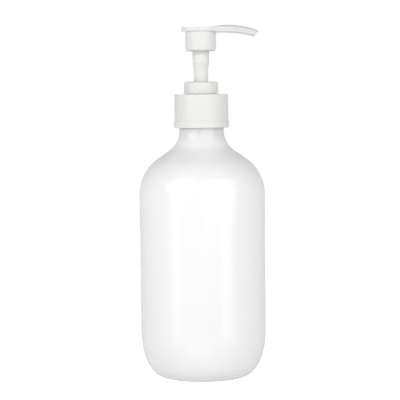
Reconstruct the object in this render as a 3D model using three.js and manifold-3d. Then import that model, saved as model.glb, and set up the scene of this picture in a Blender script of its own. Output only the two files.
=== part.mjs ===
// Pump oil bottle: a round-shouldered bottle of about half a litre with a 28 mm screw neck,
// and the lotion pump that screws onto it, with its head up. Millimetres, +Z up. The origin
// is the middle of the resting face, and the nozzle points along +X.
import * as THREE from 'three';
import { mergeVertices } from 'three/addons/utils/BufferGeometryUtils.js';
import Module from 'manifold-3d';

const wasm = await Module();
wasm.setup();

const TURN = 2 * Math.PI;
const DEGREE = Math.PI / 180;

// Sides of the round faces
const BOTTLE_SIDES = 40;
const FITTING_SIDES = 32;
const STEM_SIDES = 24;
const PORT_SIDES = 8;
const BEAD_SIDES = 8;
const BEAD_STEPS_PER_TURN = 24;

// Bottle, heights above the resting face
const BODY_RADIUS = 36.9;
const BODY_WALL = 1.1;
const FLOOR_THICKNESS = 1.6;
const FOOT_INNER_RADIUS = 17.5;
const FOOT_OUTER_RADIUS = 21.5;
const PUSH_UP_HEIGHT = 3.2;
const HEEL_HEIGHT = 29;
const HEEL_POWER = 2.2;
const SHOULDER_START = 107.85;
const SHOULDER_RADIUS = 25.9;
const SHOULDER_TURN = 55.5 * DEGREE;
const SHOULDER_SLOPE = 8;
const NECK_FILLET = 13.8;
const NECK_SHOULDER = 3;
const NECK_BORE = 10.6;
const FINISH_RADIUS = 12.6;
const LAND_HEIGHT = 162.75;

// Screw thread of a 28 mm neck, six turns to the inch, with half-round beads
const THREAD_PITCH = 25.4 / 6;
const THREAD_BEAD = 1.1;
const THREAD_START = -9;
const NECK_THREAD_TURNS = 1.4;
const COLLAR_THREAD_TURNS = 1.2;
const COLLAR_THREAD_START = THREAD_START - THREAD_PITCH / 2;

// All the heights below are measured from the top of the bottle's neck.
// Collar
const COLLAR_BOTTOM = -15.7;
const COLLAR_TOP = 3.9;
const COLLAR_TOP_WALL = 1.4;
const COLLAR_BORE = 14.1;
const COLLAR_HOLE = 8.65;
const COLLAR_TOP_RADIUS = 15.65;
const COLLAR_FOOT_RADIUS = 15.9;
const COLLAR_FILLET = 0.5;
const BAND_RADIUS = 16.25;
const BAND_HEIGHT = 3.8;

// Gasket between the neck and the housing's flange
const GASKET = { inner: 8.7, outer: 12.4, bottom: 0.1, top: 1.05 };

// Pump housing: neck, flange, barrel, ball chamber and dip tube socket
const FLANGE = { radius: 12.9, bottom: 1.15, top: 2.35 };
const HOUSING_NECK = { radius: 8.3, top: 8.5 };
const BARREL_RADIUS = 8.1;
const BARREL_BORE = 7;
const BARREL_LEDGE = -39.6;
const CHAMBER_BORE = 3.4;
const SEAT_TOP = -46.5;
const SEAT_BORE = 1.7;
const SEAT_BOTTOM = SEAT_TOP - (CHAMBER_BORE - SEAT_BORE);
const SOCKET = { bore: 3.9, radius: 5.3, top: -49.6, bottom: -61.5 };
const CAGE_RIBS = 3;
const CAGE_RIB = { inner: 1.6, thickness: 1, height: 1 };
const VENT = { radius: 0.7, height: -3 };

// Lock ring: a cap on the housing's neck with a sleeve that guides the stem
const LOCK_RING = { radius: 10.05, bottom: 4.25, top: 11.2, fillet: 1.4 };
const LOCK_SKIRT_BORE = 8.5;
const LOCK_CEILING = 8.8;
const SLEEVE = { radius: 6.7, bore: 4.45, bottom: -6 };
const POCKET = { bore: 5.35, bottom: 4.4 };
const LOCK_THREAD = { pitch: 1.5, turns: 1.5, ringBead: 0.35, stemBead: 0.35 };
const RING_THREAD_START = 7.4;
const STEM_THREAD_START = 26.2;

// Stem, with the boss that carries the lock thread
const STEM = { radius: 4.2, bore: 2.45, bottom: -7.2, top: 36 };
const BOSS = { radius: 4.85, taperBottom: 19.7, bottom: 22.1, top: 29.8 };
const SPIGOT_RADIUS = 4;

// Piston rod, with the head that carries the piston and the spring
const ROD = { radius: 2.35, bore: 1.35, top: -1.5, boreBottom: -13.9, portHeight: -13.2, portRadius: 0.6 };
const ROD_HEAD = { radius: 4.3, top: -14.35, bottom: -16.6 };
const SPRING_SEAT = { radius: 6.2, bottom: -17.6 };
const SPRING_PILOT = { radius: 4.7, bottom: -19.5 };

// Piston: a ring of H section with a thin lip at each end
const PISTON = { bore: 2.5, hub: 4.4, web: 6.1, groove: 6.6, lip: 6.85, lipInner: 6.4 };
const PISTON_HEIGHTS = { lipBottom: -14.6, hubBottom: -14.2, webBottom: -12.6, webTop: -9.2 };
const PISTON_TOPS = { hub: -8.4, lip: -7.2 };

// Return spring
const SPRING = { radius: 5.6, wire: 0.45, turns: 6.5, gap: 0.08, sides: 6, stepsPerTurn: 14 };

// Inlet ball and dip tube
const BALL_RADIUS = 2.4;
const BALL_CLEARANCE = 0.1;
const DIP_TUBE = { radius: 3.75, bore: 2.75, top: -49.8, floorGap: 2.2, cutAngle: 25 * DEGREE };

// Actuator head: skirt, stem socket, thumb plate and nozzle
const SKIRT = { radius: 8.95, bore: 7.7, bottom: 29.1, ceiling: 39, fillet: 1.1 };
const STEM_SOCKET = { radius: 5.5, bore: 4.15, bottom: 30.1, top: 36.2 };
const RISER_BORE = 1.8;
const PLATE = { halfLength: 11.4, halfWidth: 9.9, bottom: 40.6, top: 42.85, arc: 50 * DEGREE };
const TAIL = { slant: 0.2, top: 43.45, slopeEnd: 8.8, lipBottom: 40.5, lipInner: 10.6 };
const TAIL_NOTCH = { top: 41, outer: 10.1, inner: 9.2 };
const NOZZLE_ROOT = { x: 8.4, z: 40.05 };
const NOZZLE_WAIST = { x: 17, halfWidth: 4.4 };
const NOZZLE_PEAK = { x: 14.1, z: 44.25 };
const NOZZLE_TIP = { x: 34.1, z: 40.6, halfWidth: 3.1 };
const NOZZLE_HEEL = { x: 31.4, z: 37.5 };

// The points that pull the curves of the side outline, as [x, height], and of the plan, as [x, half width]
const HUMP_START = 3.5;
const HUMP_PULLS = [[10, NOZZLE_PEAK.z], [8, PLATE.top]];
const NOZZLE_TOP_PULLS = [[29.2, 42.9], [22, NOZZLE_PEAK.z]];
const NOZZLE_UNDER_PULLS = [[16.5, NOZZLE_ROOT.z], [25, 39.3]];
const PLAN_PULLS = [[9.6, 5.9], [12.5, 4.8]];

// The oil's way through the head, as [x, height]
const CHANNEL_RADIUS = 1.15;
const CHANNEL_START = 40.75;
const CHANNEL_PATH = [
  [-0.5, CHANNEL_START],
  [4, CHANNEL_START],
  [12, 42.1],
  [20, 41.6],
  [27, 40.7],
  [32.75, 39],
  [36.5, 37.5],
];

const WHITE_PUMP = { color: 0xefeeea, roughness: 0.38, metalness: 0 };
const WHITE_BOTTLE = { color: 0xf7f7f6, roughness: 0.3, metalness: 0 };
const FOAM = { color: 0xf1f0ea, roughness: 0.85, metalness: 0 };
const CLEAR_TUBE = { color: 0xe9ecec, roughness: 0.25, metalness: 0 };
const SEAL = { color: 0xe4e6e4, roughness: 0.45, metalness: 0 };
const STEEL = { color: 0xb9bbbd, roughness: 0.3, metalness: 1 };

// A closed solid from a three.js geometry, with its shared corners merged.
function solid(geometry) {
  const bare = geometry.clone();
  bare.deleteAttribute('normal');
  bare.deleteAttribute('uv');
  const merged = mergeVertices(bare, 1e-4);
  const corners = Array.from(merged.index.array);
  const triangles = [];
  for (let i = 0; i < corners.length; i += 3) {
    const [a, b, c] = corners.slice(i, i + 3);
    if (a !== b && b !== c && c !== a) triangles.push(a, b, c);
  }
  const mesh = new wasm.Mesh({
    numProp: 3,
    vertProperties: new Float32Array(merged.attributes.position.array),
    triVerts: new Uint32Array(triangles),
  });
  mesh.merge();
  return new wasm.Manifold(mesh);
}

// A named mesh of a solid.
function part(name, body, finish) {
  const { vertProperties, triVerts } = body.getMesh();
  const geometry = new THREE.BufferGeometry();
  geometry.setAttribute('position', new THREE.BufferAttribute(vertProperties, 3));
  geometry.setIndex(new THREE.BufferAttribute(triVerts, 1));
  geometry.computeVertexNormals();
  const mesh = new THREE.Mesh(geometry, new THREE.MeshStandardMaterial(finish));
  mesh.name = name;
  return mesh;
}

// Turns a profile of [radius, height] points about the Z axis. The points run so that
// the material is on their left, from the axis to the axis or round a closed ring.
function turned(profile, sides) {
  const points = profile.map(([radius, height]) => new THREE.Vector2(radius, height));
  if (profile[0][0] > 0) points.push(points[0].clone());
  const lathe = new THREE.LatheGeometry(points, sides);
  lathe.rotateX(Math.PI / 2);
  return solid(lathe);
}

// Points along an arc of a profile, from one angle to another.
function arc([centreRadius, centreHeight], radius, from, to, steps) {
  const points = [];
  for (let i = 0; i <= steps; i += 1) {
    const angle = from + (to - from) * i / steps;
    points.push([centreRadius + radius * Math.cos(angle), centreHeight + radius * Math.sin(angle)]);
  }
  return points;
}

// A rod along X, from one x to another at a height.
function crossRod(radius, from, to, height) {
  const rod = new THREE.CylinderGeometry(radius, radius, to - from, PORT_SIDES);
  rod.rotateZ(Math.PI / 2);
  rod.translate((from + to) / 2, 0, height);
  return solid(rod);
}

// A helix about Z whose ends can sink towards the axis, or away from it if sink is negative.
class Helix extends THREE.Curve {
  constructor({ radius, start, pitch, turns, sink = 0 }) {
    super();
    this.radius = radius;
    this.start = start;
    this.pitch = pitch;
    this.turns = turns;
    this.sink = sink;
  }

  getPoint(t, target = new THREE.Vector3()) {
    const sinkTurns = 0.1;
    const fromEnd = Math.min(1, Math.min(t, 1 - t) * this.turns / sinkTurns);
    const radius = this.radius - this.sink * (1 - fromEnd);
    const angle = t * this.turns * TURN;
    const height = this.start + t * this.turns * this.pitch;
    return target.set(radius * Math.cos(angle), radius * Math.sin(angle), height);
  }
}

// A round wire along a path.
function wire(path, radius, sides, steps) {
  const section = new THREE.Shape();
  section.absarc(0, 0, radius, 0, TURN);
  const options = { steps, bevelEnabled: false, extrudePath: path, curveSegments: sides / 2 };
  return solid(new THREE.ExtrudeGeometry(section, options));
}

function threadBead(helix, bead) {
  const steps = Math.round(helix.turns * BEAD_STEPS_PER_TURN);
  return wire(new Helix(helix), bead, BEAD_SIDES, steps);
}

// The bottle's heel, a squarish quarter of an oval from the foot up to the straight side.
function heel(inset, rise, steps) {
  const width = BODY_RADIUS - inset - FOOT_OUTER_RADIUS;
  const points = [];
  for (let i = 0; i <= steps; i += 1) {
    const angle = (1 - i / steps) * Math.PI / 2;
    const across = Math.max(0, Math.cos(angle)) ** (2 / HEEL_POWER);
    const up = 1 - Math.sin(angle) ** (2 / HEEL_POWER);
    points.push([FOOT_OUTER_RADIUS + width * across, rise + (HEEL_HEIGHT - rise) * up]);
  }
  return points;
}

// The push-up under the bottle, a dome that fades out at the foot.
function pushUp(rise) {
  const steps = 4;
  const points = [];
  for (let i = 0; i <= steps; i += 1) {
    const height = PUSH_UP_HEIGHT * (1 + Math.cos(Math.PI * i / steps)) / 2;
    points.push([FOOT_INNER_RADIUS * i / steps, rise + height]);
  }
  return points;
}

// The shoulder: a round turn inwards, a short slope, and a hollow fillet up to the neck.
function shoulder(inset, steps) {
  const across = Math.cos(SHOULDER_TURN);
  const up = Math.sin(SHOULDER_TURN);
  const centre = [BODY_RADIUS - SHOULDER_RADIUS, SHOULDER_START];
  const slopeEnd = [
    centre[0] + SHOULDER_RADIUS * across - SHOULDER_SLOPE * up,
    centre[1] + SHOULDER_RADIUS * up + SHOULDER_SLOPE * across,
  ];
  const filletCentre = [slopeEnd[0] + NECK_FILLET * across, slopeEnd[1] + NECK_FILLET * up];
  return [
    ...arc(centre, SHOULDER_RADIUS - inset, 0, SHOULDER_TURN, steps),
    ...arc(filletCentre, NECK_FILLET + inset, Math.PI + SHOULDER_TURN, Math.PI, steps - 2),
  ];
}

function bottle() {
  const chamfer = 0.4;
  const boreTaper = 2;
  const outside = [...pushUp(0), ...heel(0, 0, 8), ...shoulder(0, 8)];
  const inside = [
    ...pushUp(FLOOR_THICKNESS),
    ...heel(BODY_WALL, FLOOR_THICKNESS, 5),
    ...shoulder(BODY_WALL, 6),
  ];
  const [neckRadius, neckHeight] = outside.at(-1);
  const finish = [
    [neckRadius, neckHeight + NECK_SHOULDER],
    [FINISH_RADIUS, neckHeight + NECK_SHOULDER + chamfer],
    [FINISH_RADIUS, LAND_HEIGHT - chamfer],
    [FINISH_RADIUS - chamfer, LAND_HEIGHT],
    [NECK_BORE + chamfer, LAND_HEIGHT],
    [NECK_BORE, LAND_HEIGHT - chamfer],
    [NECK_BORE, neckHeight + boreTaper],
  ];
  const shell = turned([...outside, ...finish, ...inside.reverse()], BOTTLE_SIDES);
  const thread = threadBead({
    radius: FINISH_RADIUS,
    start: LAND_HEIGHT + THREAD_START,
    pitch: THREAD_PITCH,
    turns: NECK_THREAD_TURNS,
    sink: 0.8,
  }, THREAD_BEAD);
  return part('bottle', shell.add(thread), WHITE_BOTTLE);
}

function closureCollar() {
  const bandTop = COLLAR_BOTTOM + BAND_HEIGHT;
  const bandEdge = 0.3;
  const ceiling = COLLAR_TOP - COLLAR_TOP_WALL;
  const filletCentre = [COLLAR_TOP_RADIUS - COLLAR_FILLET, COLLAR_TOP - COLLAR_FILLET];
  const shell = turned([
    [COLLAR_BORE + bandEdge, COLLAR_BOTTOM],
    [BAND_RADIUS - bandEdge, COLLAR_BOTTOM],
    [BAND_RADIUS, COLLAR_BOTTOM + bandEdge],
    [BAND_RADIUS, bandTop - bandEdge],
    [COLLAR_FOOT_RADIUS, bandTop],
    ...arc(filletCentre, COLLAR_FILLET, 0, Math.PI / 2, 3),
    [COLLAR_HOLE, COLLAR_TOP],
    [COLLAR_HOLE, ceiling],
    [COLLAR_BORE, ceiling],
    [COLLAR_BORE, COLLAR_BOTTOM + bandEdge],
  ], FITTING_SIDES);
  const thread = threadBead({
    radius: COLLAR_BORE,
    start: COLLAR_THREAD_START,
    pitch: THREAD_PITCH,
    turns: COLLAR_THREAD_TURNS,
    sink: -0.3,
  }, THREAD_BEAD);
  return part('closure_collar', shell.add(thread), WHITE_PUMP);
}

function neckGasket() {
  const ring = turned([
    [GASKET.inner, GASKET.bottom],
    [GASKET.outer, GASKET.bottom],
    [GASKET.outer, GASKET.top],
    [GASKET.inner, GASKET.top],
  ], FITTING_SIDES);
  return part('neck_gasket', ring, FOAM);
}

// One of the ribs that keep the inlet ball in its chamber.
function cageRib(angle) {
  const embedded = 0.5;
  const outer = CHAMBER_BORE + embedded;
  const rib = new THREE.BoxGeometry(outer - CAGE_RIB.inner, CAGE_RIB.thickness, CAGE_RIB.height);
  rib.translate((outer + CAGE_RIB.inner) / 2, 0, BARREL_LEDGE - CAGE_RIB.height / 2);
  rib.rotateZ(angle);
  return solid(rib);
}

function pumpHousing() {
  const neckEdge = 0.4;
  const ledgeThickness = 1.2;
  const barrelBottom = BARREL_LEDGE - ledgeThickness;
  const taper = 3.7;
  let shell = turned([
    [SOCKET.bore, SOCKET.bottom],
    [SOCKET.radius, SOCKET.bottom],
    [SOCKET.radius, barrelBottom - taper],
    [BARREL_RADIUS, barrelBottom],
    [BARREL_RADIUS, FLANGE.bottom],
    [FLANGE.radius, FLANGE.bottom],
    [FLANGE.radius, FLANGE.top],
    [HOUSING_NECK.radius, FLANGE.top],
    [HOUSING_NECK.radius, HOUSING_NECK.top - neckEdge],
    [HOUSING_NECK.radius - neckEdge, HOUSING_NECK.top],
    [BARREL_BORE, HOUSING_NECK.top],
    [BARREL_BORE, BARREL_LEDGE],
    [CHAMBER_BORE, BARREL_LEDGE],
    [CHAMBER_BORE, SEAT_TOP],
    [SEAT_BORE, SEAT_BOTTOM],
    [SEAT_BORE, SOCKET.top],
    [SOCKET.bore, SOCKET.top],
  ], FITTING_SIDES);
  for (let i = 0; i < CAGE_RIBS; i += 1) {
    shell = shell.add(cageRib(TURN * i / CAGE_RIBS));
  }
  const vent = crossRod(VENT.radius, BARREL_BORE - 1, BARREL_RADIUS + 1, VENT.height);
  return part('pump_housing', shell.subtract(vent), WHITE_PUMP);
}

function lockRing() {
  const mouthEdge = 0.5;
  const filletCentre = [LOCK_RING.radius - LOCK_RING.fillet, LOCK_RING.top - LOCK_RING.fillet];
  const cap = turned([
    [SLEEVE.bore, SLEEVE.bottom],
    [SLEEVE.radius, SLEEVE.bottom],
    [SLEEVE.radius, LOCK_CEILING],
    [LOCK_SKIRT_BORE, LOCK_CEILING],
    [LOCK_SKIRT_BORE, LOCK_RING.bottom],
    [LOCK_RING.radius, LOCK_RING.bottom],
    ...arc(filletCentre, LOCK_RING.fillet, 0, Math.PI / 2, 3),
    [POCKET.bore + mouthEdge, LOCK_RING.top],
    [POCKET.bore, LOCK_RING.top - mouthEdge],
    [POCKET.bore, POCKET.bottom],
    [SLEEVE.bore, POCKET.bottom],
  ], FITTING_SIDES);
  const thread = threadBead({
    radius: POCKET.bore,
    start: RING_THREAD_START,
    pitch: LOCK_THREAD.pitch,
    turns: LOCK_THREAD.turns,
  }, LOCK_THREAD.ringBead);
  return part('lock_ring', cap.add(thread), WHITE_PUMP);
}

function pumpStem() {
  const tube = turned([
    [STEM.bore, STEM.bottom],
    [STEM.radius, STEM.bottom],
    [STEM.radius, BOSS.taperBottom],
    [BOSS.radius, BOSS.bottom],
    [BOSS.radius, BOSS.top],
    [SPIGOT_RADIUS, BOSS.top],
    [SPIGOT_RADIUS, STEM.top],
    [STEM.bore, STEM.top],
  ], STEM_SIDES);
  const thread = threadBead({
    radius: BOSS.radius,
    start: STEM_THREAD_START,
    pitch: LOCK_THREAD.pitch,
    turns: LOCK_THREAD.turns,
  }, LOCK_THREAD.stemBead);
  return part('pump_stem', tube.add(thread), WHITE_PUMP);
}

function pistonRod() {
  const rod = turned([
    [0, SPRING_PILOT.bottom],
    [SPRING_PILOT.radius, SPRING_PILOT.bottom],
    [SPRING_PILOT.radius, SPRING_SEAT.bottom],
    [SPRING_SEAT.radius, SPRING_SEAT.bottom],
    [SPRING_SEAT.radius, ROD_HEAD.bottom],
    [ROD_HEAD.radius, ROD_HEAD.bottom],
    [ROD_HEAD.radius, ROD_HEAD.top],
    [ROD.radius, ROD_HEAD.top],
    [ROD.radius, ROD.top],
    [ROD.bore, ROD.top],
    [ROD.bore, ROD.boreBottom],
    [0, ROD.boreBottom],
  ], STEM_SIDES);
  const port = crossRod(ROD.portRadius, -ROD.radius - 1, ROD.radius + 1, ROD.portHeight);
  return part('piston_rod', rod.subtract(port), WHITE_PUMP);
}

function piston() {
  const { lipBottom, hubBottom, webBottom, webTop } = PISTON_HEIGHTS;
  const ring = turned([
    [PISTON.bore, hubBottom],
    [PISTON.hub, hubBottom],
    [PISTON.hub, webBottom],
    [PISTON.web, webBottom],
    [PISTON.lipInner, lipBottom],
    [PISTON.lip, lipBottom],
    [PISTON.groove, webBottom],
    [PISTON.groove, webTop],
    [PISTON.lip, PISTON_TOPS.lip],
    [PISTON.lipInner, PISTON_TOPS.lip],
    [PISTON.web, webTop],
    [PISTON.hub, webTop],
    [PISTON.hub, PISTON_TOPS.hub],
    [PISTON.bore, PISTON_TOPS.hub],
  ], STEM_SIDES);
  return part('piston', ring, SEAL);
}

function returnSpring() {
  const bottom = BARREL_LEDGE + SPRING.wire + SPRING.gap;
  const top = SPRING_SEAT.bottom - SPRING.wire - SPRING.gap;
  const helix = new Helix({
    radius: SPRING.radius,
    start: bottom,
    pitch: (top - bottom) / SPRING.turns,
    turns: SPRING.turns,
  });
  const steps = Math.round(SPRING.turns * SPRING.stepsPerTurn);
  return part('return_spring', wire(helix, SPRING.wire, SPRING.sides, steps), STEEL);
}

// The ball rests on its cone-shaped seat, just clear of it.
function inletBall() {
  const ball = part('inlet_ball', solid(new THREE.SphereGeometry(BALL_RADIUS, 16, 12)), STEEL);
  const seatReach = BALL_RADIUS * Math.SQRT2 - SEAT_BORE;
  ball.position.z = SEAT_BOTTOM + seatReach + BALL_CLEARANCE;
  return ball;
}

// The dip tube ends just above the bottle's floor, cut at a slant.
function dipTube() {
  const bottom = PUSH_UP_HEIGHT + FLOOR_THICKNESS + DIP_TUBE.floorGap - LAND_HEIGHT;
  const tube = turned([
    [DIP_TUBE.bore, bottom],
    [DIP_TUBE.radius, bottom],
    [DIP_TUBE.radius, DIP_TUBE.top],
    [DIP_TUBE.bore, DIP_TUBE.top],
  ], STEM_SIDES);
  const size = 4 * DIP_TUBE.radius;
  const block = new THREE.BoxGeometry(size, size, size);
  block.translate(size / 2, 0, -size / 2);
  block.rotateY(DIP_TUBE.cutAngle);
  block.translate(-DIP_TUBE.radius, 0, bottom + 2 * DIP_TUBE.radius * Math.tan(DIP_TUBE.cutAngle));
  return part('dip_tube', tube.subtract(solid(block)), CLEAR_TUBE);
}

// The thumb plate and nozzle seen from the side, x along the nozzle.
function headSide() {
  const side = new THREE.Shape();
  side.moveTo(-PLATE.halfLength - TAIL.slant, TAIL.lipBottom);
  side.lineTo(-TAIL.lipInner, TAIL.lipBottom);
  side.lineTo(-TAIL_NOTCH.outer, TAIL_NOTCH.top);
  side.lineTo(-TAIL_NOTCH.inner, TAIL_NOTCH.top);
  side.lineTo(-TAIL_NOTCH.inner + TAIL.slant, PLATE.bottom);
  side.lineTo(NOZZLE_ROOT.x - TAIL.slant, PLATE.bottom);
  side.lineTo(NOZZLE_ROOT.x, NOZZLE_ROOT.z);
  side.bezierCurveTo(...NOZZLE_UNDER_PULLS.flat(), NOZZLE_HEEL.x, NOZZLE_HEEL.z);
  side.lineTo(NOZZLE_TIP.x, NOZZLE_TIP.z);
  side.bezierCurveTo(...NOZZLE_TOP_PULLS.flat(), NOZZLE_PEAK.x, NOZZLE_PEAK.z);
  side.bezierCurveTo(...HUMP_PULLS.flat(), HUMP_START, PLATE.top);
  side.lineTo(-TAIL.slopeEnd, PLATE.top);
  side.lineTo(-PLATE.halfLength + TAIL.slant, TAIL.top);
  return side;
}

// The thumb plate and nozzle seen from above: an oval plate that narrows into the nozzle.
function headPlan() {
  const plan = new THREE.Shape();
  const { halfLength, halfWidth, arc: end } = PLATE;
  const join = [halfLength * Math.cos(end), halfWidth * Math.sin(end)];
  const [first, second] = PLAN_PULLS;
  const past = NOZZLE_TIP.x + 0.1;
  plan.absellipse(0, 0, halfLength, halfWidth, end, TURN - end);
  plan.bezierCurveTo(first[0], -first[1], second[0], -second[1], NOZZLE_WAIST.x, -NOZZLE_WAIST.halfWidth);
  plan.lineTo(past, -NOZZLE_TIP.halfWidth);
  plan.lineTo(past, NOZZLE_TIP.halfWidth);
  plan.lineTo(NOZZLE_WAIST.x, NOZZLE_WAIST.halfWidth);
  plan.bezierCurveTo(...second, ...first, ...join);
  return plan;
}

// The thumb plate and nozzle: the side outline drawn across, kept inside the plan outline.
function thumbPlate() {
  const width = 2 * PLATE.halfWidth + 2;
  const height = 12;
  const sideOptions = { depth: width, bevelEnabled: false, curveSegments: 8 };
  const across = new THREE.ExtrudeGeometry(headSide(), sideOptions);
  across.translate(0, 0, -width / 2);
  across.rotateX(Math.PI / 2);
  const planOptions = { depth: height, bevelEnabled: false, curveSegments: 10 };
  const upright = new THREE.ExtrudeGeometry(headPlan(), planOptions);
  upright.translate(0, 0, NOZZLE_HEEL.z - 1);
  return solid(across).intersect(solid(upright));
}

function nozzleChannel() {
  const path = new THREE.CatmullRomCurve3(CHANNEL_PATH.map(([x, z]) => new THREE.Vector3(x, 0, z)));
  return wire(path, CHANNEL_RADIUS, BEAD_SIDES, 14);
}

function actuatorHead() {
  const overlap = 0.1;
  const filletCentre = [SKIRT.radius - SKIRT.fillet, SKIRT.bottom + SKIRT.fillet];
  const skirt = turned([
    [SKIRT.bore, SKIRT.bottom],
    ...arc(filletCentre, SKIRT.fillet, -Math.PI / 2, 0, 3),
    [SKIRT.radius, PLATE.bottom + overlap],
    [0, PLATE.bottom + overlap],
    [0, STEM_SOCKET.top],
    [STEM_SOCKET.bore, STEM_SOCKET.top],
    [STEM_SOCKET.bore, STEM_SOCKET.bottom],
    [STEM_SOCKET.radius, STEM_SOCKET.bottom],
    [STEM_SOCKET.radius, SKIRT.ceiling],
    [SKIRT.bore, SKIRT.ceiling],
  ], FITTING_SIDES);
  const riser = turned([
    [0, STEM_SOCKET.top - 1],
    [RISER_BORE, STEM_SOCKET.top - 1],
    [RISER_BORE, CHANNEL_START],
    [0, CHANNEL_START],
  ], STEM_SIDES);
  const head = skirt.add(thumbPlate()).subtract(riser).subtract(nozzleChannel());
  return part('actuator_head', head, WHITE_PUMP);
}

// The pump stands on the bottle's neck, so its pieces are placed from there.
function pump() {
  const group = new THREE.Group();
  group.position.z = LAND_HEIGHT;
  group.add(neckGasket(), closureCollar(), pumpHousing(), lockRing());
  group.add(returnSpring(), pistonRod(), piston(), pumpStem(), actuatorHead());
  group.add(inletBall(), dipTube());
  return group;
}

const pumpBottle = new THREE.Group();
pumpBottle.add(bottle(), pump());

export default pumpBottle;
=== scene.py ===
"""The looks of the pump oil bottle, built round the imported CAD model. Outlines are in millimetres."""
import math

import bmesh
import bpy
from mathutils import Euler, Matrix, Vector


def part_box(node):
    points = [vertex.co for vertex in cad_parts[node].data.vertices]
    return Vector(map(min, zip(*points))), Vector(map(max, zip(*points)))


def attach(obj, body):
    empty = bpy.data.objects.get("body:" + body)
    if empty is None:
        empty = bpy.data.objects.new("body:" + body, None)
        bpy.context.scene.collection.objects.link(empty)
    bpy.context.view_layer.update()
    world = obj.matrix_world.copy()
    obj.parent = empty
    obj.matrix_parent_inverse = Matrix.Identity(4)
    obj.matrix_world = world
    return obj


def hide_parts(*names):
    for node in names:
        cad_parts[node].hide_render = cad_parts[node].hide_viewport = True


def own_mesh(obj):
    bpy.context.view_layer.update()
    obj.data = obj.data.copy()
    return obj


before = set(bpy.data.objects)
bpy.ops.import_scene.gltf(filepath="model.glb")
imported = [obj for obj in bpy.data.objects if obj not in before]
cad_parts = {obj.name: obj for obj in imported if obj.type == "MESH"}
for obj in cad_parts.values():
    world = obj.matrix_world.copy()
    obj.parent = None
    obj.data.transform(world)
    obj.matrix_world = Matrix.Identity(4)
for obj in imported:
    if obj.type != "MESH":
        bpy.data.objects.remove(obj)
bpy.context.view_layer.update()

MM = 0.001
TURN = 2 * math.pi


# ---- Places, from the frame ----

def span(node):
    """A node's lowest height, highest height and reach along +X, in millimetres."""
    low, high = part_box(node)
    return low.z / MM, high.z / MM, high.x / MM


_, LAND, BODY_RADIUS = span("bottle")
_, TOTAL_HEIGHT, NOZZLE_REACH = span("actuator_head")
HEAD_TAIL = -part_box("actuator_head")[0].x / MM


def above_land(node):
    """A turned node's lowest and highest height above the bottle's neck, and its radius."""
    low, high, radius = span(node)
    return low - LAND, high - LAND, radius


# ---- Outlines ----

def rounded(corners, closed=True, steps=6):
    """Points of an outline whose corners are (across, up, corner radius)."""
    points = []
    for i, (across, up, radius) in enumerate(corners):
        here = Vector((across, up))
        if radius == 0 or (not closed and i in (0, len(corners) - 1)):
            points.append(here)
            continue
        before = Vector(corners[i - 1][:2]) - here
        after = Vector(corners[(i + 1) % len(corners)][:2]) - here
        half = before.angle(after) / 2
        cut = min(radius / math.tan(half), 0.49 * before.length, 0.49 * after.length)
        middle = (before.normalized() + after.normalized()).normalized()
        centre = here + middle * cut / math.cos(half)
        start = here + before.normalized() * cut - centre
        end = here + after.normalized() * cut - centre
        first = math.atan2(start.y, start.x)
        sweep = math.remainder(math.atan2(end.y, end.x) - first, TURN)
        for k in range(steps + 1):
            angle = first + sweep * k / steps
            points.append(centre + start.length * Vector((math.cos(angle), math.sin(angle))))
    return points


def fine(points, spacing, closed=True):
    """The outline with its long sides divided."""
    result = []
    sides = len(points) if closed else len(points) - 1
    for i in range(sides):
        a, b = Vector(points[i]), Vector(points[(i + 1) % len(points)])
        parts = max(1, round((b - a).length / spacing))
        result += [a.lerp(b, k / parts) for k in range(parts)]
    return result if closed else result + [Vector(points[-1])]


def arc(centre, radius, first, last, steps):
    return [
        Vector(centre) + radius * Vector((math.cos(a), math.sin(a)))
        for a in (first + (last - first) * k / steps for k in range(steps + 1))
    ]


def smooth(value):
    """A smooth step from 0 to 1 as value goes from 0 to 1."""
    t = min(1, max(0, value))
    return t * t * (3 - 2 * t)


# ---- Meshes ----

def finished(name, bm, scale=MM):
    """The bmesh as an object, smooth, with its faces pointing out."""
    bmesh.ops.recalc_face_normals(bm, faces=bm.faces)
    mesh = bpy.data.meshes.new(name)
    bm.to_mesh(mesh)
    bm.free()
    mesh.transform(Matrix.Scale(scale, 4))
    mesh.shade_smooth()
    piece = bpy.data.objects.new(name, mesh)
    bpy.context.scene.collection.objects.link(piece)
    return piece


def lathe(name, outline, base=0.0, closed=True, sides=144, relief=None, scale=MM):
    """Turns an outline about Z. relief(angle, across, up) is how much the wall stands out there."""
    bm = bmesh.new()
    rings = []
    for across, up in outline:
        if across < 1e-6:
            rings.append([bm.verts.new((0, 0, up + base))])
            continue
        ring = []
        for j in range(sides):
            angle = TURN * j / sides
            reach = across + (relief(angle, across, up) if relief else 0)
            ring.append(bm.verts.new((reach * math.cos(angle), reach * math.sin(angle), up + base)))
        rings.append(ring)
    pairs = list(zip(rings, rings[1:])) + ([(rings[-1], rings[0])] if closed else [])
    for a, b in pairs:
        for j in range(sides):
            k = (j + 1) % sides
            corners = [a[j % len(a)], a[k % len(a)], b[k % len(b)], b[j % len(b)]]
            bm.faces.new(list(dict.fromkeys(corners)))
    return finished(name, bm, scale)


def thread(radius, start, pitch, turns, height, half_width, side=1):
    """Relief of a half-round right-hand thread on the wall of that radius."""
    fade = 0.5

    def relief(angle, across, up):
        if abs(across - radius) > 0.02:
            return 0
        lift = 0
        turned = angle
        while turned < turns * TURN:
            offset = (up - start - pitch * turned / TURN) / half_width
            if abs(offset) < 1:
                end = smooth(min(turned, turns * TURN - turned) / fade)
                lift = max(lift, height * end * (1 - offset * offset) ** 0.6)
            turned += TURN
        return side * lift

    return relief


def apply_modifiers(piece):
    graph = bpy.context.evaluated_depsgraph_get()
    mesh = bpy.data.meshes.new_from_object(piece.evaluated_get(graph))
    piece.modifiers.clear()
    piece.data = mesh
    mesh.shade_smooth()


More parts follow.
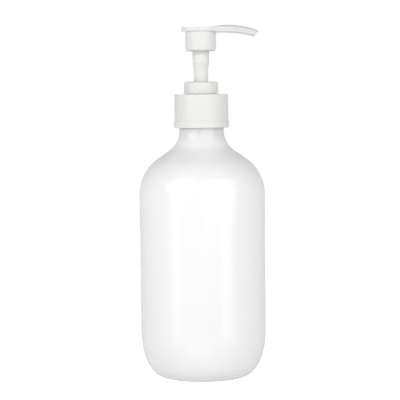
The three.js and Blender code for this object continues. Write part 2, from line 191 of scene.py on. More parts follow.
def cut(piece, tool, operation="DIFFERENCE"):
    """Cuts or joins the tool, which is then gone."""
    modifier = piece.modifiers.new("cut", "BOOLEAN")
    modifier.object = tool
    modifier.operation = operation
    modifier.solver = "EXACT"
    apply_modifiers(piece)
    bpy.data.objects.remove(tool)


def even_normals(piece):
    """Keeps flat faces flat next to their rounded edges."""
    piece.modifiers.new("normals", "WEIGHTED_NORMAL").keep_sharp = True


# ---- Materials ----

def new_material(name):
    material = bpy.data.materials.new(name)
    material.use_nodes = True
    return material, material.node_tree.nodes, material.node_tree.links


def noise(nodes, links, scale, detail=3, stretch=None):
    """A noise texture in the object's own space, with features of about 1/scale metres."""
    place = nodes.new("ShaderNodeTexCoord")
    texture = nodes.new("ShaderNodeTexNoise")
    texture.inputs["Scale"].default_value = scale
    texture.inputs["Detail"].default_value = detail
    source = place.outputs["Object"]
    if stretch:
        mapping = nodes.new("ShaderNodeMapping")
        mapping.inputs["Scale"].default_value = stretch
        links.new(source, mapping.inputs["Vector"])
        source = mapping.outputs["Vector"]
    links.new(source, texture.inputs["Vector"])
    return texture.outputs["Fac"]


def ramp(nodes, links, factor, low, high):
    """Spreads a noise between two numbers."""
    spread = nodes.new("ShaderNodeMapRange")
    spread.inputs["From Min"].default_value = 0.3
    spread.inputs["From Max"].default_value = 0.7
    spread.inputs["To Min"].default_value = low
    spread.inputs["To Max"].default_value = high
    links.new(factor, spread.inputs["Value"])
    return spread.outputs["Result"]


def two_tone(nodes, links, factor, first, second):
    mix = nodes.new("ShaderNodeMix")
    mix.data_type = "RGBA"
    mix.inputs["A"].default_value = (*first, 1)
    mix.inputs["B"].default_value = (*second, 1)
    links.new(factor, mix.inputs["Factor"])
    return mix.outputs["Result"]


def paint_shade(nodes, links, tone, axis, start, end, share):
    """Paints shade into a colour: multiplies it by a share that comes in between two places along an
    axis, in metres.
    """
    place = nodes.new("ShaderNodeTexCoord")
    along = nodes.new("ShaderNodeSeparateXYZ")
    links.new(place.outputs["Object"], along.inputs["Vector"])
    fade = nodes.new("ShaderNodeMapRange")
    fade.interpolation_type = "SMOOTHSTEP"
    fade.inputs["From Min"].default_value = start
    fade.inputs["From Max"].default_value = end
    fade.inputs["To Min"].default_value = 1
    fade.inputs["To Max"].default_value = share
    links.new(along.outputs[axis], fade.inputs["Value"])
    scaled = nodes.new("ShaderNodeVectorMath")
    scaled.operation = "SCALE"
    links.new(tone, scaled.inputs["Vector"])
    links.new(fade.outputs["Result"], scaled.inputs["Scale"])
    return scaled.outputs["Vector"]


def bump(nodes, links, height, distance, strength, below=None):
    node = nodes.new("ShaderNodeBump")
    node.inputs["Distance"].default_value = distance
    node.inputs["Strength"].default_value = strength
    links.new(height, node.inputs["Height"])
    if below:
        links.new(below, node.inputs["Normal"])
    return node.outputs["Normal"]


def moulded(name, colour, shade, roughness, grain, subsurface=0.0, flow=None, painted_shade=None):
    """Moulded plastic: faint mottling, uneven gloss, fine grain over a slow waviness.

    The last argument, (axis, start, end, share), paints shade into the colour: it gets darker between
    the two places."""
    material, nodes, links = new_material(name)
    shader = nodes["Principled BSDF"]
    mottle = ramp(nodes, links, noise(nodes, links, 45, 2), 0, 1)
    tone = two_tone(nodes, links, mottle, colour, shade)
    # Painted shade, where asked for: the colour darkens between two places along an axis.
    if painted_shade:
        tone = paint_shade(nodes, links, tone, *painted_shade)
    links.new(tone, shader.inputs["Base Color"])
    gloss = ramp(nodes, links, noise(nodes, links, 160, 3), roughness[0], roughness[1])
    links.new(gloss, shader.inputs["Roughness"])
    waves = bump(nodes, links, noise(nodes, links, 110, 1, flow), 0.0004, 0.12)
    texture = bump(nodes, links, noise(nodes, links, grain, 2), 0.00002, 0.25, waves)
    links.new(texture, shader.inputs["Normal"])
    shader.inputs["IOR"].default_value = 1.54
    if subsurface:
        shader.inputs["Subsurface Weight"].default_value = subsurface
        shader.inputs["Subsurface Radius"].default_value = (1, 1, 1)
        shader.inputs["Subsurface Scale"].default_value = 0.0018
    return material


def steel(name, colour, roughness, grain, stretch):
    """Bare steel with fine drawing or polishing marks."""
    material, nodes, links = new_material(name)
    shader = nodes["Principled BSDF"]
    shader.inputs["Metallic"].default_value = 1
    marks = noise(nodes, links, grain, 4, stretch)
    darker = tuple(0.82 * c for c in colour)
    tone = two_tone(nodes, links, ramp(nodes, links, marks, 0, 1), colour, darker)
    links.new(tone, shader.inputs["Base Color"])
    links.new(ramp(nodes, links, marks, roughness[0], roughness[1]), shader.inputs["Roughness"])
    links.new(bump(nodes, links, marks, 0.00001, 0.3), shader.inputs["Normal"])
    return material


def foam(name, colour, shade):
    """Closed-cell foam with small pores."""
    material, nodes, links = new_material(name)
    shader = nodes["Principled BSDF"]
    place = nodes.new("ShaderNodeTexCoord")
    pores = nodes.new("ShaderNodeTexVoronoi")
    pores.inputs["Scale"].default_value = 2500
    links.new(place.outputs["Object"], pores.inputs["Vector"])
    tone = two_tone(nodes, links, pores.outputs["Distance"], shade, colour)
    links.new(tone, shader.inputs["Base Color"])
    links.new(bump(nodes, links, pores.outputs["Distance"], 0.0001, 0.6), shader.inputs["Normal"])
    shader.inputs["Roughness"].default_value = 0.85
    return material


def finish_piece(piece, body, node, material):
    """Gives a piece its material and its place in the frame."""
    piece.data.materials.clear()
    piece.data.materials.append(material)
    even_normals(piece)
    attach(piece, body)
    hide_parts(node)


# ---- Bottle ----

WALL = 1.1
FLOOR = 1.6
FOOT_INNER = 17.5
FOOT_OUTER = 21.5
PUSH_UP = 3.2
HEEL_HEIGHT = 29
HEEL_POWER = 2.2
SHOULDER_START = 107.85
SHOULDER_RADIUS = 25.9
SHOULDER_TURN = math.radians(55.5)
SHOULDER_SLOPE = 8
NECK_FILLET = 13.8
NECK_BORE = 10.6
FINISH_RADIUS = 12.6
THREAD_PITCH = 25.4 / 6
THREAD_START = -9
PARTING_HEIGHT = 3.4
PARTING_DEPTH = 0.14
NECK_SHOULDER = 3
NECK_SLOPE = 0.5
BORE_TAPER = 2
NECK_THREAD_TURNS = 1.4
COLLAR_THREAD_TURNS = 1.2
THREAD_BEAD = 1.1


def heel(inset, rise, steps):
    points = []
    for k in range(steps + 1):
        angle = (1 - k / steps) * math.pi / 2
        across = max(0, math.cos(angle)) ** (2 / HEEL_POWER)
        up = 1 - math.sin(angle) ** (2 / HEEL_POWER)
        width = BODY_RADIUS - inset - FOOT_OUTER
        points.append(Vector((FOOT_OUTER + width * across, rise + (HEEL_HEIGHT - rise) * up)))
    return points


def push_up(rise, steps=16):
    return [
        Vector((FOOT_INNER * k / steps, rise + PUSH_UP * (1 + math.cos(math.pi * k / steps)) / 2))
        for k in range(steps + 1)
    ]


def shoulder(inset):
    across, up = math.cos(SHOULDER_TURN), math.sin(SHOULDER_TURN)
    centre = Vector((BODY_RADIUS - SHOULDER_RADIUS, SHOULDER_START))
    slope_end = centre + Vector((
        SHOULDER_RADIUS * across - SHOULDER_SLOPE * up,
        SHOULDER_RADIUS * up + SHOULDER_SLOPE * across,
    ))
    fillet = slope_end + NECK_FILLET * Vector((across, up))
    return (
        arc(centre, SHOULDER_RADIUS - inset, 0, SHOULDER_TURN, 30)
        + arc(fillet, NECK_FILLET + inset, math.pi + SHOULDER_TURN, math.pi, 18)
    )


def parting_groove(point):
    """The fine line round the heel where the mould's base met its sides."""
    across, up = point
    depth = PARTING_DEPTH * math.exp(-((up - PARTING_HEIGHT) / 0.3) ** 2)
    return Vector((across - 0.6 * depth, up + 0.8 * depth))


def make_bottle(material):
    outside = push_up(0) + [parting_groove(p) for p in heel(0, 0, 110)] + shoulder(0)
    inside = push_up(FLOOR) + heel(WALL, FLOOR, 40) + shoulder(WALL)
    neck = outside[-1].y
    finish = rounded([
        (outside[-1].x, neck, 0),
        (outside[-1].x, neck + NECK_SHOULDER, 0.2),
        (FINISH_RADIUS, neck + NECK_SHOULDER + NECK_SLOPE, 0.2),
        (FINISH_RADIUS, LAND, 0.4),
        (NECK_BORE, LAND, 0.4),
        (NECK_BORE, neck + BORE_TAPER, 0.8),
        (inside[-1].x, inside[-1].y, 0),
    ], closed=False)
    outline = (
        fine(outside, 2.5, closed=False)[:-1]
        + fine(finish, 0.22, closed=False)[:-1]
        + fine(inside, 3, closed=False)[::-1]
    )
    neck_thread = thread(
        FINISH_RADIUS, LAND + THREAD_START, THREAD_PITCH, NECK_THREAD_TURNS, THREAD_BEAD, THREAD_BEAD)
    piece = lathe("bottle_shell", outline, closed=False, sides=160, relief=neck_thread)
    finish_piece(piece, "bottle", "bottle", material)


# ---- Collar, gasket and lock ring ----

def make_collar(material):
    bottom, top, band = above_land("closure_collar")
    wall_foot = band - 0.35
    wall_top = band - 0.6
    hole, bore = 8.65, 14.1
    ceiling = top - 1.4
    band_top = bottom + 3.8
    outline = rounded([
        (bore, bottom, 0.3),
        (band, bottom, 0.4),
        (band, band_top, 0.3),
        (wall_foot, band_top + 0.1, 0.12),
        (wall_top, top, 0.5),
        (hole, top, 0.25),
        (hole, ceiling, 0.1),
        (bore, ceiling, 0.4),
    ])
    start = THREAD_START - THREAD_PITCH / 2
    inner_thread = thread(
        bore, start, THREAD_PITCH, COLLAR_THREAD_TURNS, THREAD_BEAD, THREAD_BEAD, side=-1)
    piece = lathe("collar_shell", fine(outline, 0.3), base=LAND, relief=inner_thread)
    finish_piece(piece, "collar", "closure_collar", material)


def make_gasket(material):
    bottom, top, radius = above_land("neck_gasket")
    hole, edge = 8.7, 0.15
    outline = rounded([
        (hole, bottom, edge),
        (radius, bottom, edge),
        (radius, top, edge),
        (hole, top, edge),
    ])
    piece = lathe("gasket_ring", fine(outline, 0.6), base=LAND)
    finish_piece(piece, "gasket", "neck_gasket", material)


LOCK_PITCH = 1.5
LOCK_TURNS = 1.5
LOCK_BEAD = 0.35
LOCK_BEAD_HALF_WIDTH = 0.4


def turn_arrow(radius, height):
    """Relief of a two-way arrow on the front of the lock ring, which shows that it is a twist lock."""
    half_length, head_length, head_half = 2.6, 1.3, 0.85
    line_half, depth, blend = 0.22, 0.13, 0.15

    def relief(angle, across, up):
        if abs(across - radius) > 0.02:
            return 0
        along = abs(math.remainder(angle + math.pi / 2, TURN)) * radius
        away = abs(up - height)
        if along < half_length:
            edge = line_half - away
        else:
            edge = head_half * (1 - (along - half_length) / head_length) - away
        return depth * smooth(edge / blend)

    return relief


def make_lock_ring(material):
    sleeve_bottom, top, radius = above_land("lock_ring")
    bottom = 4.1
    pocket, guide = 5.35, 4.45
    outline = rounded([
        (guide, sleeve_bottom, 0.2),
        (6.7, sleeve_bottom, 0.2),
        (6.7, 8.8, 0.3),
        (8.5, 8.8, 0.3),
        (8.5, bottom, 0.15),
        (radius, bottom, 0.12),
        (radius, top, 1.5),
        (pocket + 0.2, top, 0.35),
        (pocket, top - 0.5, 0.2),
        (pocket, 4.4, 0.2),
        (guide, 4.4, 0.1),
    ])
    female = thread(pocket, 7.4, LOCK_PITCH, LOCK_TURNS, LOCK_BEAD, LOCK_BEAD_HALF_WIDTH, side=-1)
    arrow = turn_arrow(radius, bottom + 3)
    piece = lathe(
        "lock_ring_shell", fine(outline, 0.16), base=LAND, sides=288,
        relief=lambda angle, across, up: female(angle, across, up) + arrow(angle, across, up),
    )
    finish_piece(piece, "pump_body", "lock_ring", material)


# ---- Housing and what it holds ----

def rod(radius, start, end, sides=24, scale=1.0):
    """A plain tool for cutting: a cylinder from one point to another, in millimetres."""
    bm = bmesh.new()
    way = Vector(end) - Vector(start)
    place = Matrix.Translation((Vector(start) + Vector(end)) / 2)
    turn = way.to_track_quat("Z", "Y").to_matrix().to_4x4()
    bmesh.ops.create_cone(
        bm, cap_ends=True, segments=sides, radius1=radius, radius2=radius,
        depth=way.length, matrix=place @ turn,
    )
    return finished("tool", bm, scale)


def cage_rib(angle, inner, outer, top):
    """One of the ribs that keep the ball in its chamber, 1 mm thick and 1 mm high."""
    bm = bmesh.new()
    bmesh.ops.create_cube(bm, size=1)
    bmesh.ops.bevel(bm, geom=bm.edges[:], offset=0.12, segments=3, profile=0.5, affect="EDGES")
    bmesh.ops.scale(bm, vec=(outer - inner, 1, 1), verts=bm.verts)
    bmesh.ops.translate(bm, vec=((inner + outer) / 2, 0, LAND + top - 0.5), verts=bm.verts)
    bmesh.ops.rotate(bm, cent=(0, 0, 0), matrix=Matrix.Rotation(angle, 3, "Z"), verts=bm.verts)
    return finished("tool", bm)


def make_housing(material):
    socket_bottom, neck_top, flange = above_land("pump_housing")
    ledge, seat, chamber = -39.6, -46.5, 3.4
    outline = rounded([
        (3.9, socket_bottom, 0.2),
        (5.3, socket_bottom, 0.3),
        (5.3, ledge - 4.9, 1.2),
        (8.1, ledge - 1.2, 1.0),
        (8.1, 1.15, 0.4),
        (flange, 1.15, 0.2),
        (flange, 2.35, 0.2),
        (8.3, 2.35, 0.3),
        (8.3, neck_top, 0.4),
        (7.0, neck_top, 0.2),
        (7.0, ledge, 0.3),
        (chamber, ledge, 0.2),
        (chamber, seat, 0.1),
        (1.7, seat - 1.7, 0.1),
        (1.7, -49.6, 0.1),
        (3.9, -49.6, 0.2),
    ])
    piece = lathe("housing_shell", fine(outline, 1.2), base=LAND)
    for k in range(3):
        cut(piece, cage_rib(TURN * k / 3, 1.6, chamber + 0.5, ledge), "UNION")
    cut(piece, rod(0.7, (6, 0, LAND - 3), (10, 0, LAND - 3), scale=MM))
    finish_piece(piece, "pump_body", "pump_housing", material)


def make_dip_tube(material):
    bottom, top, radius = above_land("dip_tube")
    bore = radius - 1
    outline = rounded([
        (bore, bottom, 0.1),
        (radius, bottom, 0.1),
        (radius, top, 0.15),
        (bore, top, 0.15),
    ])
    piece = lathe("dip_tube_wall", fine(outline, 3), base=LAND, sides=64)
    slant = math.tan(math.radians(25))
    end = (bottom + LAND + 0.3) * MM
    for vertex in piece.data.vertices:
        if vertex.co.z < end:
            vertex.co.z += (radius * MM - vertex.co.x) * slant
    finish_piece(piece, "pump_body", "dip_tube", material)


def make_stem(material):
    bottom, top, _ = above_land("pump_stem")
    bore, boss = 2.45, 4.85
    outline = rounded([
        (bore, bottom, 0.2),
        (4.2, bottom, 0.3),
        (4.2, 19.7, 8),
        (boss, 22.1, 8),
        (boss, 29.8, 0.2),
        (4.0, 29.8, 0.1),
        (4.0, top, 0.3),
        (bore, top, 0.2),
    ])
    male = thread(boss, 26.2, LOCK_PITCH, LOCK_TURNS, LOCK_BEAD, LOCK_BEAD_HALF_WIDTH)
    piece = lathe("stem_tube", fine(outline, 0.18), base=LAND, sides=128, relief=male)
    finish_piece(piece, "head", "pump_stem", material)


def make_piston_rod(material):
    bottom, top, seat = above_land("piston_rod")
    outline = rounded([
        (0, bottom, 0),
        (4.7, bottom, 0.5),
        (4.7, -17.6, 0.2),
        (seat, -17.6, 0.2),
        (seat, -16.6, 0.2),
        (4.3, -16.6, 0.2),
        (4.3, -14.35, 0.3),
        (2.35, -14.35, 0.2),
        (2.35, top, 0.3),
        (1.35, top, 0.15),
        (1.35, -13.9, 0.2),
        (0, -13.9, 0),
    ], closed=False)
    piece = lathe("rod_body", fine(outline, 0.8, closed=False), base=LAND, closed=False, sides=96)
    port = LAND - 13.2
    cut(piece, rod(0.6, (-4, 0, port), (4, 0, port), scale=MM))
    finish_piece(piece, "head", "piston_rod", material)


def make_piston(material):
    bottom, top, lip = above_land("piston")
    outline = rounded([
        (2.5, -14.2, 0.15),
        (4.4, -14.2, 0.2),
        (4.4, -12.6, 0.2),
        (6.1, -12.6, 0.3),
        (lip - 0.45, bottom, 0.1),
        (lip, bottom, 0.1),
        (6.6, -12.4, 0.8),
        (6.6, -9.4, 0.8),
        (lip, top, 0.1),
        (lip - 0.45, top, 0.1),
        (6.1, -9.2, 0.3),
        (4.4, -9.2, 0.2),
        (4.4, -8.4, 0.2),
        (2.5, -8.4, 0.15),
    ])
    piece = lathe("piston_ring", fine(outline, 0.5), base=LAND, sides=128)
    finish_piece(piece, "piston", "piston", material)


def make_spring(material):
    low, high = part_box("return_spring")
    radius, wire, turns, sides, per_turn = 5.6, 0.45, 6.5, 12, 40
    bottom, top = low.z / MM + wire, high.z / MM - wire
    bm = bmesh.new()
    steps = round(turns * per_turn)
    rings = []
    for i in range(steps + 1):
        angle = TURN * turns * i / steps
        out = Vector((math.cos(angle), math.sin(angle), 0))
        centre = radius * out + Vector((0, 0, bottom + (top - bottom) * i / steps))
        section = [TURN * j / sides for j in range(sides)]
        rings.append([
            bm.verts.new(centre + wire * (math.cos(a) * out + math.sin(a) * Vector((0, 0, 1))))
            for a in section
        ])
    for a, b in zip(rings, rings[1:]):
        for j in range(sides):
            k = (j + 1) % sides
            bm.faces.new((a[j], a[k], b[k], b[j]))
    bm.faces.new(rings[0])
    bm.faces.new(rings[-1][::-1])
    piece = finished("spring_coil", bm)
    finish_piece(piece, "spring", "return_spring", material)
    apply_modifiers(piece)
    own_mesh(piece)


def make_ball(material):
    low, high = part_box("inlet_ball")
    radius = (high.z - low.z) / 2 / MM
    steps = 40
    outline = [
        Vector((radius * math.sin(math.pi * k / steps), -radius * math.cos(math.pi * k / steps)))
        for k in range(steps + 1)
    ]
    outline[-1].x = 0
    piece = lathe("valve_ball", outline, base=(high.z + low.z) / 2 / MM, closed=False, sides=64)
    finish_piece(piece, "ball", "inlet_ball", material)


# ---- Actuator head ----

SKIRT_RADIUS = 8.95
SKIRT_BOTTOM = 29.1
SKIRT_FILLET = 1.2
CEILING = 39.0
PLATE_HALF_WIDTH = 9.9
PLATE_BOTTOM = 40.6
PLATE_TOP = 42.85
TAIL_RISE = 0.6
TAIL_NOTCH = 0.45
TAIL_SLANT = 0.4
PEAK_X = 14.1
PEAK_Z = TOTAL_HEIGHT - LAND
TIP_TOP = (NOZZLE_REACH, 40.6)
TIP_BOTTOM = (31.4, 37.5)
ROOT_X, ROOT_Z = 8.4, 40.05
JOIN_X = 7.33
WAIST_X = 17.0
WAIST_HALF = 4.4
TIP_HALF = 3.1
CHANNEL_Z = 40.75
VOXEL = 0.17


def head_top(x):
    """Height of the head's upper edge: raised at the tail, dipped for the thumb, then humped."""
    if x < PEAK_X:
        tail = TAIL_RISE * smooth((-x - 8.6) / 2.6)
        return PLATE_TOP + tail + (PEAK_Z - PLATE_TOP) * smooth((x - 2.5) / (PEAK_X - 2.5))
    fall = (x - PEAK_X) / (TIP_TOP[0] - PEAK_X)
    return PEAK_Z - (PEAK_Z - TIP_TOP[1]) * fall ** 2.3


def head_bottom(x):
    """Height of the head's lower edge, notched behind the lip at the tail."""
    if x < ROOT_X:
        notch = TAIL_NOTCH * smooth((-x - 8.7) / 0.5) * (1 - smooth((-x - 10) / 0.7))
        return PLATE_BOTTOM + notch - (PLATE_BOTTOM - ROOT_Z) * smooth((x - ROOT_X + 1) / 1)
    fall = (x - ROOT_X) / (TIP_BOTTOM[0] - ROOT_X)
    return ROOT_Z - (ROOT_Z - TIP_BOTTOM[1]) * fall ** 2.6


def head_half_width(x):
    """Half the head's width: a round plate that narrows into the nozzle."""
    if x < JOIN_X:
        return PLATE_HALF_WIDTH * math.sqrt(max(0, 1 - (x / HEAD_TAIL) ** 2))
    if x > WAIST_X:
        return WAIST_HALF + (TIP_HALF - WAIST_HALF) * (x - WAIST_X) / (TIP_TOP[0] - WAIST_X)
    run = WAIST_X - JOIN_X
    t = (x - JOIN_X) / run
    start = head_half_width(JOIN_X - 1e-6)
    first_slope = -JOIN_X / start * (PLATE_HALF_WIDTH / HEAD_TAIL) ** 2 * run
    last_slope = (TIP_HALF - WAIST_HALF) / (TIP_TOP[0] - WAIST_X) * run
    return (
        (2 * t ** 3 - 3 * t ** 2 + 1) * start
        + (t ** 3 - 2 * t ** 2 + t) * first_slope
        + (3 * t ** 2 - 2 * t ** 3) * WAIST_HALF
        + (t ** 3 - t ** 2) * last_slope
    )


def head_section(half_width, thickness, crown, top_radius, low_radius):
    """One cross-section of the head as (across, share of the height) points, its top crowned."""
    corner = min(top_radius, 0.9 * half_width, 0.6 * thickness)
    under = min(low_radius, 0.9 * half_width, 0.35 * thickness)
    shoulder_height = thickness - max(0, crown)
    outline = rounded([
        (-half_width, 0, under),
        (half_width, 0, under),
        (half_width, shoulder_height, corner),
        (-half_width, shoulder_height, corner),
    ], steps=7)
    points = []
    for i in range(len(outline)):
        a, b = outline[i], outline[(i + 1) % len(outline)]
        parts = 16 if i % 8 == 7 else 1
        points += [a.lerp(b, k / parts) for k in range(parts)]

    def domed(across):
        return 1 - (across / half_width) ** 2

    return [
        (across, (up + crown * domed(across) * smooth(2 * up / shoulder_height - 1)) / thickness)
        for across, up in points
    ]


def thumb_plate():
    """The plate and nozzle in millimetres, as sections along X that slant towards the tip."""
    bm = bmesh.new()
    tail_steps, steps = 26, 150
    tail = HEAD_TAIL - 0.02
    stations = [-tail * math.cos(math.pi / 2 * k / tail_steps) for k in range(tail_steps)]
    stations += [TIP_TOP[0] * k / steps for k in range(steps + 1)]
    rings = []
    for x in stations:
        slant = smooth((x - 16) / (TIP_TOP[0] - 16))
        bottom_x = x - slant * (TIP_TOP[0] - TIP_BOTTOM[0])
        top_x = x + TAIL_SLANT * smooth((-x - 9) / 2.4)
        top_z, bottom_z = head_top(x), head_bottom(bottom_x)
        nozzle = smooth((x - 3) / 10)
        crown = -0.5 * (1 - nozzle) * smooth((x + HEAD_TAIL) / 6) + 0.6 * nozzle
        section = head_section(
            head_half_width(x), top_z - bottom_z, crown,
            0.35 + 0.75 * nozzle, 0.3 + 0.4 * nozzle,
        )
        rings.append([
            bm.verts.new((
                bottom_x + (top_x - bottom_x) * up,
                across,
                LAND + bottom_z + (top_z - bottom_z) * up,
            ))
            for across, up in section
        ])
    for a, b in zip(rings, rings[1:]):
        for j in range(len(a)):
            k = (j + 1) % len(a)
            bm.faces.new((a[j], a[k], b[k], b[j]))
    bm.faces.new(rings[0])
    bm.faces.new(rings[-1][::-1])
    return finished("actuator_head_shell", bm, 1.0)


def nozzle_bore():
    """The bore from the stem's socket to the tip, in millimetres."""
    radius, sides = 1.15, 24
    path = [
        (-0.5, CHANNEL_Z), (4, CHANNEL_Z), (8, 41.4), (12, 42), (16, 42), (20, 41.6),
        (24, 41.15), (27.5, 40.6), (30.2, 39.85), (32.7, 39), (36.5, 37.5),
    ]
    bm = bmesh.new()
    rings = []
    for i, (x, z) in enumerate(path):
        before, after = path[max(0, i - 1)], path[min(len(path) - 1, i + 1)]
        way = Vector((after[0] - before[0], 0, after[1] - before[1])).normalized()
        up = Vector((-way.z, 0, way.x))
        centre = Vector((x, 0, LAND + z))
        rings.append([
            bm.verts.new(centre + radius * (math.cos(TURN * j / sides) * up
                                            + math.sin(TURN * j / sides) * Vector((0, 1, 0))))
            for j in range(sides)
        ])
    for a, b in zip(rings, rings[1:]):
        for j in range(sides):
            k = (j + 1) % sides
            bm.faces.new((a[j], a[k], b[k], b[j]))
    bm.faces.new(rings[0])
    bm.faces.new(rings[-1][::-1])
    return finished("bore", bm, 1.0)


def soften(piece, inside, passes):
    """Relaxes the mesh where inside(point) is true."""
    bm = bmesh.new()
    bm.from_mesh(piece.data)
    chosen = [v for v in bm.verts if inside(v.co)]
    for _ in range(passes):
        bmesh.ops.smooth_vert(
            bm, verts=chosen, factor=0.5, use_axis_x=True, use_axis_y=True, use_axis_z=True)
    bm.to_mesh(piece.data)
    bm.free()


def make_head(material):
    head = thumb_plate()
    skirt = rounded([
        (0, SKIRT_BOTTOM, 0),
        (SKIRT_RADIUS, SKIRT_BOTTOM, SKIRT_FILLET),
        (SKIRT_RADIUS, PLATE_BOTTOM + 0.6, 0),
        (0, PLATE_BOTTOM + 0.6, 0),
    ], closed=False)
    cut(head, lathe("skirt", skirt, base=LAND, closed=False, scale=1.0), "UNION")
    hollow = rounded([
        (5.5, SKIRT_BOTTOM - 1, 0),
        (7.7, SKIRT_BOTTOM - 1, 0),
        (7.7, CEILING, 0.5),
        (5.5, CEILING, 0.5),
    ])
    cut(head, lathe("hollow", hollow, base=LAND, scale=1.0))
    socket = rounded([
        (0, SKIRT_BOTTOM - 1, 0),
        (5.6, SKIRT_BOTTOM - 1, 0),
        (5.6, SKIRT_BOTTOM + 1, 0),
        (4.15, SKIRT_BOTTOM + 1, 0.2),
        (4.15, 36.2, 0.2),
        (1.8, 36.2, 0.2),
        (1.8, CHANNEL_Z, 0),
        (0, CHANNEL_Z, 0),
    ], closed=False)
    cut(head, lathe("socket", socket, base=LAND, closed=False, scale=1.0))
    cut(head, nozzle_bore())
    remesh = head.modifiers.new("remesh", "REMESH")
    remesh.mode = "VOXEL"
    remesh.voxel_size = VOXEL
    apply_modifiers(head)
    soften(head, lambda p: True, 3)
    corner_z = LAND + ROOT_Z
    soften(head, lambda p: 6.5 < p.x < 12.5 and corner_z - 2 < p.z < corner_z + 0.6, 14)
    head.data.transform(Matrix.Scale(MM, 4))
    head.data.shade_smooth()
    finish_piece(head, "head", "actuator_head", material)


# ---- Stage, light and camera ----

EYE = Vector((-1.34, -1000, 164.55)) * MM
PITCH = math.radians(3.44)
ROLL = math.radians(0.6)
FOCAL_PIXELS = 1700
FRAME_PIXELS = 400
SENSOR = 36


def make_camera():
    data = bpy.data.cameras.new("camera")
    data.sensor_width = SENSOR
    data.lens = SENSOR * FOCAL_PIXELS / FRAME_PIXELS
    data.clip_start = 0.05
    data.clip_end = 50
    camera = bpy.data.objects.new("camera", data)
    bpy.context.scene.collection.objects.link(camera)
    level = Euler((math.pi / 2 - PITCH, 0, 0)).to_matrix().to_4x4()
    camera.matrix_world = Matrix.Translation(EYE) @ level @ Matrix.Rotation(-ROLL, 4, "Z")
    bpy.context.scene.camera = camera


def softbox(name, azimuth, elevation, distance, width, height, power, aim=(0, 0, 0.1)):
    """A soft light that faces the object. Azimuth 0 is the camera's side, and 90 is +X."""
    data = bpy.data.lights.new(name, "AREA")
    data.shape = "RECTANGLE"
    data.size = width
    data.size_y = height
    data.energy = power
    light = bpy.data.objects.new(name, data)
    bpy.context.scene.collection.objects.link(light)
    a, e = math.radians(azimuth), math.radians(elevation)
    away = Vector((math.sin(a) * math.cos(e), -math.cos(a) * math.cos(e), math.sin(e)))
    light.location = Vector(aim) + distance * away
    light.rotation_euler = away.to_track_quat("Z", "Y").to_euler()
    light.visible_camera = False
    return light


SURROUND = ((0, 0.65), (0.35, 0.77), (0.5, 0.76), (0.65, 0.6), (0.85, 0.38), (1, 0.25))
FRONT_DIMMING = 0.75
LEFT_STRENGTH, RIGHT_STRENGTH = 0.99, 0.85


def make_world():
    """White to look at. For light and reflections, a pale surround that is darker above and below."""
    world = bpy.data.worlds.new("studio")
    bpy.context.scene.world = world
    world.use_nodes = True
    nodes, links = world.node_tree.nodes, world.node_tree.links
    surround = nodes["Background"]
    surround.inputs["Color"].default_value = (1, 1, 1, 1)
    place = nodes.new("ShaderNodeTexCoord")
    height = nodes.new("ShaderNodeSeparateXYZ")
    links.new(place.outputs["Generated"], height.inputs["Vector"])
    shade = nodes.new("ShaderNodeFloatCurve")
    points = shade.mapping.curves[0].points
    for where, strength in SURROUND[1:-1]:
        points.new(where, strength)
    points[0].location, points[-1].location = SURROUND[0], SURROUND[-1]
    shade.mapping.update()
    share = nodes.new("ShaderNodeMapRange")
    share.inputs["From Min"].default_value = -1
    links.new(height.outputs["Z"], share.inputs["Value"])
    links.new(share.outputs["Result"], shade.inputs["Value"])
    front = nodes.new("ShaderNodeMapRange")
    front.inputs["From Min"].default_value = -0.95
    front.inputs["From Max"].default_value = 0.1
    front.inputs["To Min"].default_value = FRONT_DIMMING
    links.new(height.outputs["Y"], front.inputs["Value"])
    side = nodes.new("ShaderNodeMapRange")
    side.inputs["From Min"].default_value = -0.8
    side.inputs["From Max"].default_value = 0.8
    side.inputs["To Min"].default_value = LEFT_STRENGTH
    side.inputs["To Max"].default_value = RIGHT_STRENGTH
    links.new(height.outputs["X"], side.inputs["Value"])
    strength = shade.outputs["Value"]
    for share in (front, side):
        product = nodes.new("ShaderNodeMath")
        product.operation = "MULTIPLY"
        links.new(strength, product.inputs[0])
        links.new(share.outputs["Result"], product.inputs[1])
        strength = product.outputs["Value"]
    links.new(strength, surround.inputs["Strength"])
    backdrop = nodes.new("ShaderNodeBackground")
    backdrop.inputs["Strength"].default_value = 1.0
    backdrop.inputs["Color"].default_value = (1, 1, 1, 1)
    path = nodes.new("ShaderNodeLightPath")
    mix = nodes.new("ShaderNodeMixShader")
    links.new(path.outputs["Is Camera Ray"], mix.inputs["Fac"])
    links.new(surround.outputs["Background"], mix.inputs[1])
    links.new(backdrop.outputs["Background"], mix.inputs[2])
    links.new(mix.outputs["Shader"], nodes["World Output"].inputs["Surface"])


def make_floor():
    bm = bmesh.new()
    bmesh.ops.create_circle(bm, cap_ends=True, segments=64, radius=1.2)
    floor = finished("floor", bm, 1.0)
    floor.location.z = -0.0002
    material, nodes, links = new_material("floor")
    shader = nodes["Principled BSDF"]
    grain = ramp(nodes, links, noise(nodes, links, 30, 2), 0, 1)
    tone = two_tone(nodes, links, grain, (0.9, 0.9, 0.9), (0.93, 0.93, 0.93))
    links.new(tone, shader.inputs["Base Color"])
    shader.inputs["Roughness"].default_value = 0.9
    shader.inputs["Emission Color"].default_value = (1, 1, 1, 1)
    shader.inputs["Emission Strength"].default_value = 0.8
    floor.data.materials.append(material)
    floor.visible_diffuse = False
    floor.visible_glossy = False
    floor.visible_shadow = False


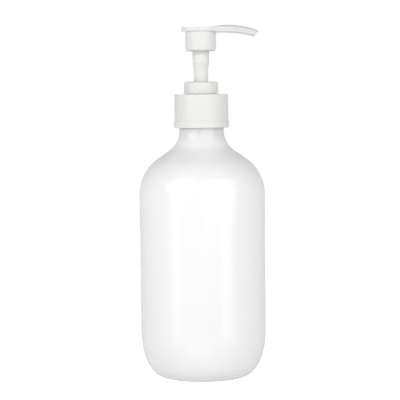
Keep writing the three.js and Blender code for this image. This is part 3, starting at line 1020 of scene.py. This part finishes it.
def make_lights():
    """Two keys, a low fill, two strips that light the body's flanks, and a gridded box for the pump."""
    softbox("key_left", -39, 21.5, 1.2, 0.76, 1.0, 4.5)
    softbox("key_right", 33, 18.8, 1.2, 1.59, 1.0, 8.0)
    softbox("fill_low", -5, -27, 1.2, 1.2, 0.4, 0.8)
    softbox("strip_left", -50, -9, 1.2, 0.4, 0.36, 0.42)
    softbox("strip_right", 44, -9, 1.2, 0.5, 0.36, 0.6)
    grid = softbox("pump_left", -62, 14, 0.7, 0.25, 0.25, 0.045, aim=(0, 0, 0.165))
    grid.data.spread = math.radians(60)


bpy.context.scene.view_settings.view_transform = "Standard"
make_camera()
make_world()
make_floor()
make_lights()

# The bottle's colour has painted shade on the neck, darkening upwards towards the collar, in place of
# the collar's shade.
bottle_plastic = moulded(
    "bottle_plastic", (0.935, 0.933, 0.93), (0.92, 0.92, 0.918), (0.11, 0.16), 5200,
    subsurface=0.35, flow=(1, 1, 0.25), painted_shade=("Z", 0.136, 0.145, 0.77))
pump_plastic = moulded(
    "pump_plastic", (0.775, 0.77, 0.755), (0.76, 0.755, 0.74), (0.34, 0.44), 6500, subsurface=0.35)
# The head's colour has painted shade along the nozzle: darker from its root out to the tip.
head_plastic = moulded(
    "head_plastic", (0.775, 0.77, 0.755), (0.76, 0.755, 0.74), (0.34, 0.44), 6500,
    subsurface=0.3, painted_shade=("X", 0.006, 0.022, 0.89))
housing_plastic = moulded(
    "housing_plastic", (0.84, 0.845, 0.84), (0.82, 0.825, 0.82), (0.3, 0.4), 6500, subsurface=0.2)
seal_plastic = moulded(
    "seal_plastic", (0.74, 0.75, 0.74), (0.71, 0.72, 0.715), (0.4, 0.5), 4000, subsurface=0.3)
tube_plastic = moulded(
    "tube_plastic", (0.82, 0.84, 0.84), (0.79, 0.81, 0.815), (0.2, 0.3), 3000,
    subsurface=0.4, flow=(1, 1, 0.06))
gasket_foam = foam("gasket_foam", (0.87, 0.86, 0.82), (0.76, 0.75, 0.71))
spring_steel = steel("spring_steel", (0.55, 0.55, 0.56), (0.25, 0.4), 1500, (1, 1, 0.2))
ball_steel = steel("ball_steel", (0.62, 0.62, 0.63), (0.08, 0.16), 2500, (1, 1, 1))

make_bottle(bottle_plastic)
make_collar(pump_plastic)
make_gasket(gasket_foam)
make_lock_ring(pump_plastic)
make_housing(housing_plastic)
make_dip_tube(tube_plastic)
make_stem(pump_plastic)
make_piston_rod(housing_plastic)
make_piston(seal_plastic)
make_spring(spring_steel)
make_ball(ball_steel)
make_head(head_plastic)
